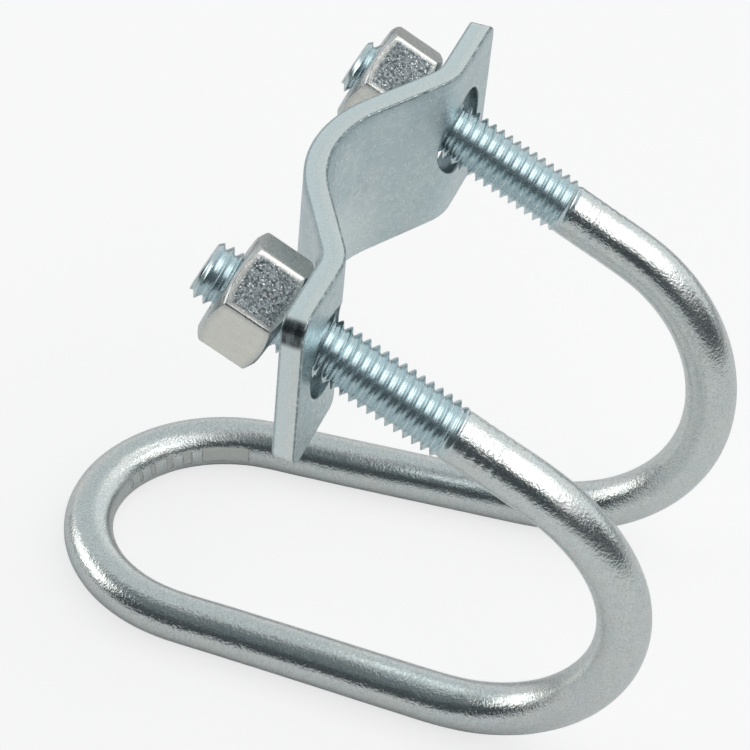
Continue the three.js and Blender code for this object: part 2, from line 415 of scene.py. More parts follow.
def add_leg_end(shape, side, ring):
    """The leg's end face: rings closing to a point, a little cupped."""
    start = np.zeros(ROD_SIDES)
    rim = bolt_radius(start, ROD_ANGLES, side)
    path = 0.0 if side == "front" else TOTAL
    centre, tangent, _, _ = line_at(path)
    inwards = tangent if side == "front" else -tangent
    for fraction, depth in END_RINGS:
        points, lay = on_leg(side, start, rim * fraction)
        rough = 0.02 * value_noise(points / 0.7, 11)
        points = points + inwards[None, :] * (depth + rough)[:, None]
        inner = shape.add(points, tag=END_TAG, lay=lay, pressed=0.0)
        shape.band(inner, ring)
        ring = inner
    tip = shape.add((centre + inwards * END_DEPTH)[None, :],
                    tag=END_TAG, lay=[[path, 0.0, 0.0]], pressed=0.0)[0]
    for c in range(ROD_SIDES):
        shape.faces.append((ring[c], tip, ring[(c + 1) % ROD_SIDES]))


def inward_at(centre, tangent):
    """Square to the rod, towards the middle of the eye and a little up from the floor."""
    x, y, z = centre
    v = np.array([EYE_X - x, -y * (EYE_DEPTH / EYE_HALF) ** 2, EYE_Z - z])
    v /= np.linalg.norm(v)
    v = v + PRESS_LIFT * WORLD_UP
    v -= (v @ tangent) * tangent
    return v / np.linalg.norm(v)


def press_marks():
    """The pressed flats as (path length, half length, depth, softness)."""
    marks = []
    for degrees, *sizes in PRESSED:
        point = np.array(eye_point(math.radians(90 + degrees)))
        nearest = int(np.argmin(np.linalg.norm(LINE - point, axis=1)))
        marks.append((LINE_S[nearest], *sizes))
    return marks


def faint_thread(path, start, end):
    """Depth round the ring of the faint rolled marks just past each thread."""
    depth = np.zeros(ROD_SIDES)
    for side, past, sign in (("front", path - start, 1), ("rear", end - path, -1)):
        fade = smoothstep(past, 0.0, 0.6) * (1 - smoothstep(past, 1.5, 6.8))
        turns = (thread_length(side) + past - CREST_AT[side]) / PITCH
        turns = turns - sign * ROD_ANGLES / FULL_TURN
        uneven = value_noise(np.stack([
            np.full(ROD_SIDES, path * 0.9),
            np.cos(ROD_ANGLES) * 1.4,
            np.sin(ROD_ANGLES) * 1.4,
        ], 1), 51)
        bite = np.clip(1 - form(turns) * 1.6, 0, 1) * (0.75 + 0.5 * uneven)
        depth += FAINT_DEPTH * fade * bite
    return depth


def add_smooth_rod(shape):
    """The rod between the two threads. Returns its rings."""
    start = thread_length("front")
    end = TOTAL - thread_length("rear")
    marks = press_marks()
    press_start = min(where - half for where, half, _, _ in marks) - 1.0
    press_end = max(where + half for where, half, _, _ in marks) + 1.0
    spans = [
        (start, start + FAINT_LEN, FINE_STEP),
        (start + FAINT_LEN, press_start, PLAIN_STEP),
        (press_start, press_end, PRESS_STEP),
        (press_end, end - FAINT_LEN, PLAIN_STEP),
        (end - FAINT_LEN, end, FINE_STEP),
    ]
    paths = np.concatenate(
        [np.linspace(a, b, int(round((b - a) / step)) + 1)[:-1] for a, b, step in spans] + [[end]])
    cos, sin = np.cos(ROD_ANGLES), np.sin(ROD_ANGLES)
    rings = []
    for path, centre, tangent, u_dir, v_dir in zip(paths, *line_at(paths)):
        around = cos[:, None] * u_dir + sin[:, None] * v_dir
        fade = smoothstep(path, start, start + 1.0) * (1 - smoothstep(path, end - 1.0, end))
        radius = ROD_R - faint_thread(path, start, end)
        radius = radius + fade * wobble(centre + ROD_R * around)
        points = centre + radius[:, None] * around
        inward = inward_at(centre, tangent)
        pressed = np.zeros(ROD_SIDES)
        for where, half, depth, soft in marks:
            amount = 1 - smoothstep(abs(path - where), half - soft, half + soft)
            high = (points - centre) @ inward - (ROD_R - depth)
            points = points - (amount * np.maximum(high, 0))[:, None] * inward
            pressed = np.maximum(pressed, amount * smoothstep(high, -0.07, 0.03))
        lay = np.stack([np.full(ROD_SIDES, path), ROD_R * cos, ROD_R * sin], -1)
        rings.append(shape.add(points, tag=0.0, lay=lay, pressed=pressed))
    for a, b in zip(rings, rings[1:]):
        shape.band(a, b)
    return rings


def build_rod():
    shape = Shape()
    inner_row = {}
    for side in ("front", "rear"):
        rows = add_thread(shape, side)
        add_leg_end(shape, side, rows[0])
        inner_row[side] = rows[-1]
    rings = add_smooth_rod(shape)
    shape.band(inner_row["front"], rings[0])
    # the rear leg's columns run the other way round
    rear = inner_row["rear"]
    shape.band(rings[-1], [rear[-c % ROD_SIDES] for c in range(ROD_SIDES)])
    return shape


# ------------------------------------------------------------------ saddle plate
# The blank is measured along (u) and across (h) its mid-surface, and through it (t) towards
# the bends. From the middle, u passes the arch, a straight slope, the ear bend and the ear.
HALF_T = PLATE_T / 2
HALF_W = PLATE_W / 2
SIN_ARCH, COS_ARCH = math.sin(ARCH_SLOPE), math.cos(ARCH_SLOPE)
ARCH_MID_R = ARCH_R + HALF_T
ARCH_CENTRE = PLATE_T - ARCH_RISE + ARCH_R
EAR_MID_R = EAR_BEND_R - HALF_T
EAR_CENTRE = PLATE_T - EAR_BEND_R
EAR_START = (ARCH_R + EAR_BEND_R - (ARCH_CENTRE - EAR_CENTRE) * COS_ARCH) / SIN_ARCH
SLOPE_FROM = (ARCH_MID_R * SIN_ARCH, ARCH_CENTRE - ARCH_MID_R * COS_ARCH)
SLOPE_TO = (EAR_START - EAR_MID_R * SIN_ARCH, EAR_CENTRE + EAR_MID_R * COS_ARCH)
U_ARCH = ARCH_MID_R * ARCH_SLOPE
U_SLOPE = U_ARCH + math.hypot(SLOPE_TO[0] - SLOPE_FROM[0], SLOPE_TO[1] - SLOPE_FROM[1])
U_EAR = U_SLOPE + EAR_MID_R * ARCH_SLOPE
U_HOLE = U_EAR + HOLE_HALF - EAR_START
U_END = U_EAR + PLATE_HALF - EAR_START

EDGE_STEPS = np.array([0.0, 0.22, 0.5, 0.85, 1.25, 1.7])   # grid lines in from the outline
HOLE_PATCH = 6.4                       # from a hole's centre to its patch's inner side
PATCH_LAYERS = [0, 0.2, 0.36, 0.56, 0.78, 1.0]             # from the hole's rim to the patch's
BLANK_CORNER_R = 1.6
HOLE_INSET = 0.6                       # scale of the wall's insets round a hole
# wall profile from the face towards the bends to the other face: inset, t
WALL = [
    (0.26, HALF_T), (0.13, HALF_T - 0.018), (0.05, HALF_T - 0.07), (0.012, HALF_T - 0.16),
    (0.0, HALF_T - 0.30), (0.0, HALF_T - 0.8), (0.0, 0.05), (0.015, -0.10), (0.03, -0.30),
    (0.035, -HALF_T + 0.35), (0.045, -HALF_T + 0.14), (0.075, -HALF_T + 0.05),
    (0.13, -HALF_T + 0.01), (0.22, -HALF_T),
]


def bend_strip(u, h, t):
    """Blank coordinates to the leg frame."""
    far = np.abs(u)
    arch = far / ARCH_MID_R
    run = far - U_ARCH
    ear = ARCH_SLOPE - (far - U_SLOPE) / EAR_MID_R
    parts = [far < U_ARCH, far < U_SLOPE, far < U_EAR]
    y = np.select(parts, [
        (ARCH_MID_R - t) * np.sin(arch),
        SLOPE_FROM[0] + run * COS_ARCH - t * SIN_ARCH,
        EAR_START - (EAR_MID_R + t) * np.sin(ear),
    ], EAR_START + (far - U_EAR))
    y = y * np.where(u < 0, -1.0, 1.0)
    x = np.select(parts, [
        ARCH_CENTRE - (ARCH_MID_R - t) * np.cos(arch),
        SLOPE_FROM[1] + run * SIN_ARCH + t * COS_ARCH,
        EAR_CENTRE + (EAR_MID_R + t) * np.cos(ear),
    ], HALF_T + t)
    cos, sin = math.cos(PLATE_YAW), math.sin(PLATE_YAW)
    x, y, z = (np.stack([cos * x - sin * y, sin * x + cos * y, h], -1) + PLATE_AT).T
    cos, sin = math.cos(PLATE_TILT), math.sin(PLATE_TILT)
    return np.stack([cos * x - sin * z, y, sin * x + cos * z], -1)


def signed_area(corners):
    return 0.5 * sum(corners[i][0] * corners[(i + 1) % 4][1]
                     - corners[(i + 1) % 4][0] * corners[i][1] for i in range(4))


def plate_blank():
    """The flat blank with its two holes: (u, h) points and counter-clockwise quads."""
    margin = EDGE_STEPS[-1]
    across = np.r_[-HALF_W + EDGE_STEPS[:-1],
                   np.linspace(-HALF_W + margin, HALF_W - margin, 25),
                   (HALF_W - EDGE_STEPS[:-1])[::-1]]
    points, quads, index = [], [], {}

    def corner(u, h):
        key = (round(u, 5), round(h, 5))
        if key not in index:
            index[key] = len(points)
            points.append((u, h))
        return index[key]

    def grid(along):
        for u0, u1 in zip(along, along[1:]):
            for h0, h1 in zip(across, across[1:]):
                quads.append((corner(u0, h0), corner(u1, h0), corner(u1, h1), corner(u0, h1)))

    patch_in = U_HOLE - HOLE_PATCH
    end_strip = U_END - EDGE_STEPS[::-1]
    patch_out = end_strip[0]
    grid(np.linspace(-patch_in, patch_in, 45))
    grid(end_strip)
    grid(-end_strip[::-1])
    along = np.linspace(patch_in, patch_out, 17)
    rim = np.array([(patch_in, h) for h in across]
                   + [(u, across[-1]) for u in along[1:]]
                   + [(patch_out, h) for h in across[::-1][1:]]
                   + [(u, across[0]) for u in along[::-1][1:-1]])
    angle = np.arctan2(rim[:, 1], rim[:, 0] - U_HOLE)
    circle = np.stack([U_HOLE + HOLE_R * np.cos(angle), HOLE_R * np.sin(angle)], 1)
    for sign in (1, -1):
        layers = [[corner(sign * u, h) for u, h in circle * (1 - f) + rim * f]
                  for f in PATCH_LAYERS]
        for a, b in zip(layers, layers[1:]):
            for i in range(len(rim)):
                j = (i + 1) % len(rim)
                quads.append((a[i], a[j], b[j], b[i])[::sign])
    flat = np.array(points)
    # round the four corners of the blank
    for i, (u, h) in enumerate(flat):
        u_core, h_core = U_END - BLANK_CORNER_R, HALF_W - BLANK_CORNER_R
        a, b = (abs(u) - u_core) / BLANK_CORNER_R, (abs(h) - h_core) / BLANK_CORNER_R
        if a > 0 and b > 0:
            u_far = u_core + BLANK_CORNER_R * a * math.sqrt(1 - b * b / 2)
            h_far = h_core + BLANK_CORNER_R * b * math.sqrt(1 - a * a / 2)
            flat[i] = (math.copysign(u_far, u), math.copysign(h_far, h))
    return flat, [q if signed_area(flat[list(q)]) > 0 else q[::-1] for q in quads]


def boundary_loops(quads):
    """Closed loops of boundary points, directed with the material on the left."""
    # a dict, to keep the edges in order
    edges = dict.fromkeys((q[i], q[(i + 1) % 4]) for q in quads for i in range(4))
    following = {a: b for a, b in edges if (b, a) not in edges}
    loops, seen = [], set()
    for point in following:
        if point in seen:
            continue
        loop = []
        while point not in seen:
            seen.add(point)
            loop.append(point)
            point = following[point]
        loops.append(loop)
    return loops


def outward(outline):
    """Unit directions out of the material at the points of a loop."""
    back = outline - np.roll(outline, 1, 0)
    ahead = np.roll(outline, -1, 0) - outline
    along = (back / np.linalg.norm(back, axis=1)[:, None]
             + ahead / np.linalg.norm(ahead, axis=1)[:, None])
    along /= np.linalg.norm(along, axis=1)[:, None]
    return np.stack([along[:, 1], -along[:, 0]], 1)


def build_plate():
    shape = Shape()
    flat, quads = plate_blank()
    loops = boundary_loops(quads)
    count = len(flat)
    normal = np.zeros((count, 2))
    scale = np.zeros(count)
    for loop in loops:
        outline = flat[loop]
        normal[loop] = outward(outline)
        spread = np.linalg.norm(outline - outline.mean(0), axis=1).std()
        scale[loop] = HOLE_INSET if spread < 0.3 else 1.0

    def add_blank(uh, t, **values):
        return shape.add(bend_strip(uh[:, 0], uh[:, 1], t),
                         lay=np.stack([uh[:, 0], uh[:, 1], t], 1), **values)

    faces = []
    for (inset, t), seed, order in ((WALL[0], 21, -1), (WALL[-1], 22, 1)):
        uh = flat - normal * (inset * scale)[:, None]
        wave = np.stack([uh[:, 0] / 2.3, uh[:, 1] / 2.3, np.full(count, seed * 3.7)], 1)
        face = add_blank(uh, t + 0.010 * value_noise(wave, seed), tag=0.0, hole=0.0)
        shape.faces.extend(tuple(face[i] for i in q)[::order] for q in quads)
        faces.append(face)
    for loop in loops:
        outline = flat[loop]
        loop_scale = scale[loop[0]]
        rings = [[faces[0][i] for i in loop]]
        for inset, t in WALL[1:-1]:
            level = np.full(len(loop), t)
            place = np.stack([outline[:, 0] / 0.9, outline[:, 1] / 0.9, level * 1.4], 1) * 1.6
            # the sheared wall is torn towards the bends, and smooth close to both faces
            torn = smoothstep(t, -0.1, 0.4)
            rough = (0.006 + 0.030 * torn) * value_noise(place, 31) * (abs(t) <= HALF_T - 0.1)
            uh = outline - normal[loop] * (inset * loop_scale + rough)[:, None]
            tag = 1.0 if abs(t) < HALF_T - 0.2 else 0.12 if inset > 0.1 else 0.5
            rings.append(add_blank(uh, level, tag=tag, hole=float(loop_scale < 0.9)))
        rings.append([faces[1][i] for i in loop])
        for a, b in zip(rings, rings[1:]):
            shape.band(a, b)
    return shape


# ------------------------------------------------------------------ nuts
FLAT_POINTS = 14
CORNER_STEPS = 5
BORE_ROWS_PER_TURN = 12
FACE_RADII = (3.9, 4.35, 4.72)
CHAMFER_STEPS = (0.06, 0.35, 0.7, 0.93)
BODY_STEPS = (0.12, 0.25, 0.4, 0.5, 0.6, 0.75, 0.88)
COUNTERSINK = 1.25                     # radius lost per mm of depth
SANDY_FLAT = 120                       # degrees from the leg's +Y side towards +Z


def nut_outline(side):
    """Angles and radii of the rounded hexagon, from the first angle past +Y."""
    inner = NUT_AF / 2 - NUT_CORNER_R
    half_flat = inner * math.tan(math.radians(30))
    out = []
    for k in range(6):
        angle = math.radians(60 * k)
        facing = np.array([math.cos(angle), math.sin(angle)])
        along = np.array([-math.sin(angle), math.cos(angle)])
        for i in range(FLAT_POINTS):
            place = -half_flat + 2 * half_flat * i / (FLAT_POINTS - 1)
            out.append(NUT_AF / 2 * facing + along * place)
        centre = inner * facing + half_flat * along
        for i in range(1, CORNER_STEPS):
            b = angle + math.radians(60) * i / CORNER_STEPS
            out.append(centre + NUT_CORNER_R * np.array([math.cos(b), math.sin(b)]))
    cos, sin = math.cos(NUT_TURN[side]), math.sin(NUT_TURN[side])
    out = np.array(out) @ np.array([[cos, -sin], [sin, cos]]).T
    angles = np.arctan2(out[:, 1], out[:, 0])
    first = int(np.argmin(np.where(angles < 0, angles + FULL_TURN, angles)))
    out = np.roll(out, -first, 0)
    return np.arctan2(out[:, 1], out[:, 0]) % FULL_TURN, np.hypot(out[:, 0], out[:, 1])


def nut_stations(outline):
    """Rings over the outside, from the bearing face: distance behind it, radius, tag."""
    drop = np.maximum(outline - NUT_FACE_R, 0) * math.tan(NUT_CHAMFER)
    near = [(NUT_MOUTH_DROP, NUT_MOUTH_R, 0.0), (0.0, NUT_MOUTH_R + 0.08, 0.0)]
    near += [(0.0, radius, 0.0) for radius in FACE_RADII]
    near += [(drop * f, NUT_FACE_R + (outline - NUT_FACE_R) * f, 0.3) for f in CHAMFER_STEPS]
    near += [(drop + NUT_EDGE * 0.35, outline - NUT_EDGE * 0.25, 0.6),
             (drop + NUT_EDGE * 1.3, outline, 0.6)]
    body = [(drop + (NUT_H - 2 * drop) * f, outline, 1.0) for f in BODY_STEPS]
    return near + body + [(NUT_H - x, radius, tag) for x, radius, tag in near[::-1]]


def build_nut(side):
    """Axis along the leg, bearing face at the seat, body towards the leg's end."""
    shape = Shape()
    seat = NUT_SEAT[side]
    angles, outline = nut_outline(side)
    cos, sin = np.cos(angles), np.sin(angles)
    noise_shift = 5 if side == "front" else 9

    def around(x, radius):
        """Points at x behind the seat."""
        x = np.broadcast_to(x, angles.shape)
        return np.stack([seat - x, LEG_Y[side] + radius * cos, radius * sin], 1)

    rings = []
    for x, radius, tag in nut_stations(outline):
        points = around(x, radius)
        fade = smoothstep(radius, 3.5, 4.2)
        swell = value_noise(points / 1.7 + noise_shift, 41) * 0.012 * fade
        points = points + np.stack([0 * cos, cos, sin], 1) * swell[:, None]
        points[:, 0] += 0.006 * value_noise(points / 1.3, 43) * fade
        rings.append(shape.add(points, tag=tag))
    for a, b in zip(rings, rings[1:]):
        shape.band(a, b, across=True)

    # countersinks and inside thread, in step with the leg's, in rows that follow the helix
    from_end = seat - LEG_END[side]
    turn_of = (angles if side == "front" else angles - math.pi) / FULL_TURN
    phase = ((from_end - CREST_AT[side]) / PITCH) % 1.0
    per_turn = BORE_ROWS_PER_TURN
    rows = []
    for q in range(-2 * per_turn, int(NUT_H / PITCH * per_turn) + 2 * per_turn + 1):
        x = np.clip(PITCH * (q / per_turn - turn_of + phase), 0.0, NUT_H)
        turns = (from_end - x - CREST_AT[side]) / PITCH - turn_of
        thread = NUT_MINOR_R + (NUT_MAJOR_R - NUT_MINOR_R) * form(turns)
        bore = np.maximum(thread, NUT_MOUTH_R - np.minimum(x, NUT_H - x) * COUNTERSINK)
        radius = np.where((x <= 0) | (x >= NUT_H), NUT_MOUTH_R, bore)
        inside = np.clip(x, 0.06, NUT_H - 0.06)
        depth = np.where(x <= 0, NUT_MOUTH_DROP,
                         np.where(x >= NUT_H, NUT_H - NUT_MOUTH_DROP, inside))
        rows.append(shape.add(around(depth, radius), tag=0.2))
    shape.helix(rows, -per_turn, across=True)
    # close both mouths, column by column
    near = Shape()
    far = Shape()
    near.band(rings[0], rows[0])
    far.band(rows[-1], rings[-1])
    for pair in zip(near.faces, far.faces):
        shape.faces.extend(pair)
    add_nut_masks(shape, side)
    return shape


def add_nut_masks(shape, side):
    """Masks for the nut's material: a sandy flat, flats with painted light, the bearing side's
    chamfer with painted shade.
    """
    points, tag = shape.points(), shape.column("tag")
    angle = np.arctan2(points[:, 2], points[:, 1] - LEG_Y[side])
    facing = (np.degrees(angle - NUT_TURN[side]) - SANDY_FLAT + 180) % 360 - 180
    sandy = (np.abs(facing) < 27.5) * smoothstep(tag, 0.55, 0.9)
    # painted light: flats on one side of the sandy one are lighter and warmer
    tone = smoothstep(tag, 0.35, 0.9) * 0.75 * smoothstep(facing, 31, 34) * (facing < 92)
    # painted shade: the bearing side's chamfer, close to the plate
    lee = (np.abs(tag - 0.3) < 0.05) * (NUT_SEAT[side] - points[:, 0] < 1.0)
    shape.values.update(lay=[points], sandy=[sandy], tone=[tone], lee=[lee])


# ------------------------------------------------------------------ materials
class Graph:
    """Short names for building node trees."""

    def __init__(self, tree):
        self.tree = tree
        tree.nodes.clear()

    def node(self, kind, **settings):
        node = self.tree.nodes.new(kind)
        for key, value in settings.items():
            setattr(node, key, value)
        return node

    def put(self, socket, value):
        """Link a socket's value, or set a plain one; a colour may leave out its alpha."""
        if isinstance(value, bpy.types.NodeSocket):
            self.tree.links.new(value, socket)
        elif value is not None:
            is_colour = socket.type == "RGBA" and len(value) == 3
            socket.default_value = (*value, 1.0) if is_colour else value

    def filled(self, node, *values):
        for socket, value in zip(node.inputs, values):
            self.put(socket, value)
        return node.outputs[0]

    def math(self, operation, *values):
        return self.filled(self.node("ShaderNodeMath", operation=operation), *values)

    def vmath(self, operation, *values):
        return self.filled(self.node("ShaderNodeVectorMath", operation=operation), *values)

    def split(self, vector):
        node = self.node("ShaderNodeSeparateXYZ")
        self.put(node.inputs[0], vector)
        return node.outputs

    def times(self, first, *factors):
        for factor in factors:
            first = self.math("MULTIPLY", first, factor)
        return first

    def add(self, total, *terms):
        """Add (value, weight) terms to a total; a negative weight is subtracted."""
        for value, weight in terms:
            operation = "ADD"
            if isinstance(weight, float) and weight < 0:
                operation, weight = "SUBTRACT", -weight
            total = self.math(operation, total, self.times(value, weight))
        return total

    def ramp(self, x, span, to=(0.0, 1.0)):
        """Smooth step from to[0] to to[1] as x crosses the span."""
        node = self.node("ShaderNodeMapRange", interpolation_type="SMOOTHSTEP", clamp=True)
        names = ("Value", "From Min", "From Max", "To Min", "To Max")
        for name, value in zip(names, (x, *span, *to)):
            self.put(node.inputs[name], value)
        return node.outputs[0]

    def mix(self, factor, a, b, kind="RGBA"):
        node = self.node("ShaderNodeMix", data_type=kind)
        for name, value in (("Factor", factor), ("A", a), ("B", b)):
            self.put(node.inputs[name], value)
        return node.outputs["Result"]

    def blend(self, factor, a, b):
        """Mix of two numbers."""
        return self.mix(factor, a, b, kind="FLOAT")

    def tint(self, base, mask, colour, amount):
        return self.mix(self.times(mask, amount), base, colour)

    def noise(self, vector, scale, detail=2.0, rough=0.5, distort=0.0):
        node = self.node("ShaderNodeTexNoise")
        self.put(node.inputs["Vector"], vector)
        node.inputs["Scale"].default_value = scale
        node.inputs["Detail"].default_value = detail
        node.inputs["Roughness"].default_value = rough
        node.inputs["Distortion"].default_value = distort
        return node.outputs["Fac"]

    def patches(self, vector, span, to=(0.0, 1.0), **noise):
        """Noise cut to patches by a ramp."""
        return self.ramp(self.noise(vector, **noise), span, to)

    def cells(self, vector, scale, feature="F1"):
        node = self.node("ShaderNodeTexVoronoi", feature=feature)
        self.put(node.inputs["Vector"], vector)
        node.inputs["Scale"].default_value = scale
        return node.outputs["Distance"]

    def attr(self, name, output="Fac"):
        return self.node("ShaderNodeAttribute", attribute_name=name).outputs[output]


def metal(name, build):
    """A metal whose colour, roughness and height in mm come from build(graph)."""
    mat = bpy.data.materials.new(name)
    mat.use_nodes = True
    g = Graph(mat.node_tree)
    bsdf = g.node("ShaderNodeBsdfPrincipled")
    out = g.node("ShaderNodeOutputMaterial")
    g.put(out.inputs["Surface"], bsdf.outputs["BSDF"])
    colour, rough, height = build(g)
    bsdf.inputs["Metallic"].default_value = 1.0
    g.put(bsdf.inputs["Base Color"], colour)
    g.put(bsdf.inputs["Roughness"], rough)
    bump = g.node("ShaderNodeBump")
    bump.inputs["Strength"].default_value = 1.0
    bump.inputs["Distance"].default_value = MM
    g.put(bump.inputs["Height"], height)
    g.put(bsdf.inputs["Normal"], bump.outputs["Normal"])
    return mat


def zinc_rod(g):
    """Zinc with fine drawn lines and orange-peel grain; bluer and cleaner on the threads."""
    lay = g.attr("lay", "Vector")
    thread = g.attr("tag")
    pressed = g.attr("pressed")
    drawn = g.vmath("MULTIPLY", lay, (0.22, 3.2, 3.2))
    lines = g.noise(drawn, scale=1.0, detail=3.0, rough=0.6)
    grain = g.noise(lay, scale=3.9, rough=0.6)
    fine = g.noise(lay, scale=9.5, rough=0.55)
    soft = g.noise(lay, scale=0.35)
    mottle = g.noise(lay, scale=1.3, detail=3.0, rough=0.55)
    rings = g.cells(lay, scale=2.6, feature="SMOOTH_F1")
    patchy = g.patches(lay, scale=0.28, detail=1.0, span=(0.36, 0.64))
    speck = g.patches(lay, scale=5.2, rough=0.6, span=(0.51, 0.66))
    moved = g.vmath("ADD", lay, (31.0, 7.0, 3.0))
    light = g.patches(moved, scale=4.6, rough=0.6, span=(0.50, 0.64))
    brown = g.patches(lay, scale=2.9, detail=3.0, rough=0.75, span=(0.57, 0.71))
    stretched = g.vmath("MULTIPLY", lay, (0.5, 1.2, 6.0))
    scratch = g.patches(stretched, scale=1.6, distort=1.2, span=(0.68, 0.75))

    base = g.mix(g.ramp(soft, span=(0.3, 0.7)), (0.775, 0.82, 0.835), (0.82, 0.845, 0.825))
    base = g.mix(g.ramp(mottle, span=(0.35, 0.75), to=(0.0, 0.45)), base, (0.70, 0.72, 0.70))
    base = g.tint(base, light, (0.95, 0.97, 0.965), amount=0.65)
    base = g.tint(base, speck, (0.52, 0.54, 0.53), amount=0.45)
    base = g.tint(base, brown, (0.66, 0.58, 0.46), amount=0.42)
    base = g.tint(base, pressed, (0.71, 0.715, 0.68), amount=0.8)
    # painted shade: a broken dark rim round the pressed flats, at their edges
    rim = g.times(g.ramp(pressed, span=(0.05, 0.4)), g.ramp(pressed, span=(0.95, 0.6)),
                  g.patches(lay, scale=1.6, rough=0.6, span=(0.35, 0.6), to=(0.15, 0.7)))
    base = g.mix(rim, base, (0.26, 0.265, 0.255))
    blue = g.mix(g.ramp(grain, span=(0.3, 0.7)), (0.68, 0.80, 0.835), (0.80, 0.90, 0.93))
    colour = g.mix(thread, base, blue)

    rough = g.add(g.ramp(mottle, span=(0.3, 0.75), to=(0.085, 0.15)),
                  (speck, 0.07), (scratch, 0.08), (pressed, 0.22))
    rough = g.blend(thread, rough, g.ramp(grain, span=(0.3, 0.7), to=(0.22, 0.28)))

    height = g.add(g.times(lines, 0.008),
                   (grain, g.blend(patchy, 0.036, 0.050)),
                   (rings, g.blend(patchy, 0.012, 0.020)),
                   (fine, 0.005), (mottle, 0.013), (speck, -0.003))
    height = g.blend(thread, height, g.add(g.times(grain, 0.0030), (fine, 0.0008)))
    return colour, rough, height


def zinc_plate(g):
    """Satin, blue, finely mottled zinc, with a rougher broken band on the sheared edges."""
    lay = g.attr("lay", "Vector")
    edge = g.attr("tag")
    hole = g.attr("hole")
    along, across, through = g.split(lay)
    soft = g.noise(lay, scale=0.22)
    mottle = g.noise(lay, scale=1.3, detail=4.0, rough=0.62)
    grain = g.noise(lay, scale=5.5, detail=3.0, rough=0.6)
    fine = g.noise(lay, scale=13.0)
    drawn = g.vmath("MULTIPLY", lay, (0.12, 2.4, 2.4))
    rolled = g.noise(drawn, scale=1.0, detail=3.0, rough=0.55)
    stretched = g.vmath("MULTIPLY", lay, (0.35, 4.5, 1.0))
    scratch = g.patches(stretched, scale=1.3, distort=0.3, span=(0.60, 0.70))
    pits = g.times(g.ramp(g.cells(lay, scale=2.4), span=(0.09, 0.02)),
                   g.patches(lay, scale=0.8, detail=1.0, span=(0.56, 0.66)))
    stain = g.patches(lay, scale=0.5, detail=3.0, rough=0.6, span=(0.60, 0.76))

    base = g.mix(g.ramp(soft, span=(0.3, 0.7)), (0.66, 0.775, 0.81), (0.75, 0.835, 0.855))
    base = g.mix(g.ramp(mottle, span=(0.38, 0.66), to=(0.0, 0.55)), base, (0.61, 0.71, 0.745))
    base = g.mix(g.ramp(grain, span=(0.50, 0.66), to=(0.0, 0.22)), base, (0.84, 0.90, 0.92))
    base = g.tint(base, stain, (0.60, 0.63, 0.60), amount=0.25)
    # lighter towards the lower side of the arch
    low = g.times(g.ramp(across, span=(1.5, -5.0)),
                  g.ramp(g.math("ABSOLUTE", along), span=(11.0, 6.0)))
    base = g.tint(base, low, (0.88, 0.95, 0.96), amount=0.75)
    base = g.tint(base, pits, (0.45, 0.50, 0.52), amount=0.22)
    base = g.tint(base, scratch, (0.88, 0.92, 0.93), amount=0.08)

    # the sheared wall, broken towards the bends, with painted glints there
    sheared = g.mix(g.ramp(grain, span=(0.35, 0.65)), (0.85, 0.935, 0.955), (0.91, 0.98, 0.99))
    broken = g.ramp(through, span=(-0.15, 0.25))
    sheared = g.tint(sheared, broken, (0.90, 0.93, 0.89), amount=0.45)
    # painted glints: near-white specks on the broken part of the wall
    glint = g.times(broken, g.patches(lay, scale=5.0, rough=0.6, span=(0.52, 0.62)),
                    g.patches(lay, scale=0.35, detail=1.0, span=(0.40, 0.60), to=(0.25, 1.0)))
    sheared = g.mix(glint, sheared, (1.0, 1.0, 0.97))
    colour = g.mix(g.ramp(edge, span=(0.5, 1.0)), base, sheared)
    # the sharp corners of the shear are a thin dark line, stronger towards the bends
    line = g.times(g.ramp(edge, span=(0.2, 0.45)), g.ramp(edge, span=(0.85, 0.6)),
                   g.ramp(through, span=(-0.6, 0.6), to=(0.40, 1.0)),
                   g.patches(lay, scale=2.2, rough=0.7, span=(0.34, 0.54), to=(0.35, 1.0)))
    # painted shade: a darker band inside the upper edge of both faces
    roll = g.times(g.ramp(across, span=(HALF_W - 1.3, HALF_W - 0.2)),
                   g.ramp(edge, span=(0.10, 0.02)))
    colour = g.tint(colour, roll, (0.33, 0.45, 0.49), amount=0.35)
    colour = g.tint(colour, line, (0.17, 0.20, 0.21), amount=0.80)
    # painted shade: the hole walls are darkened
    colour = g.tint(colour, hole, (0.18, 0.25, 0.28), amount=0.8)
    # painted reflection: a dark, streaked patch on the upper corner of the front end
    corner = g.times(
        g.times(g.ramp(edge, span=(0.3, 0.9)),
                g.ramp(along, span=(-U_END + 1.3, -U_END + 0.5))),
        g.times(g.ramp(across, span=(HALF_W - 3.0, HALF_W - 2.2)),
                g.ramp(across, span=(HALF_W + 0.05, HALF_W - 0.25))))
    reflection_streaks = g.patches(g.vmath("MULTIPLY", lay, (0.6, 0.4, 2.2)), scale=1.0,
                       span=(0.4, 0.6), to=(0.97, 0.80))
    colour = g.tint(colour, corner, (0.075, 0.09, 0.095), amount=reflection_streaks)

    rough = g.blend(edge, g.ramp(mottle, span=(0.3, 0.7), to=(0.23, 0.35)),
                    g.ramp(grain, span=(0.3, 0.7), to=(0.24, 0.42)))

    height = g.add(g.times(mottle, 0.020), (grain, 0.016), (fine, 0.005), (rolled, 0.010),
                   (pits, -0.005))
    # torn metal on a sheared wall runs through the thickness
    torn = g.noise(g.vmath("MULTIPLY", lay, (2.6, 2.6, 0.5)), scale=1.0, detail=3.0, rough=0.6)
    wall = g.add(g.times(torn, g.blend(broken, 0.012, 0.040)),
                 (grain, g.blend(broken, 0.003, 0.010)))
    return colour, rough, g.blend(edge, height, wall)


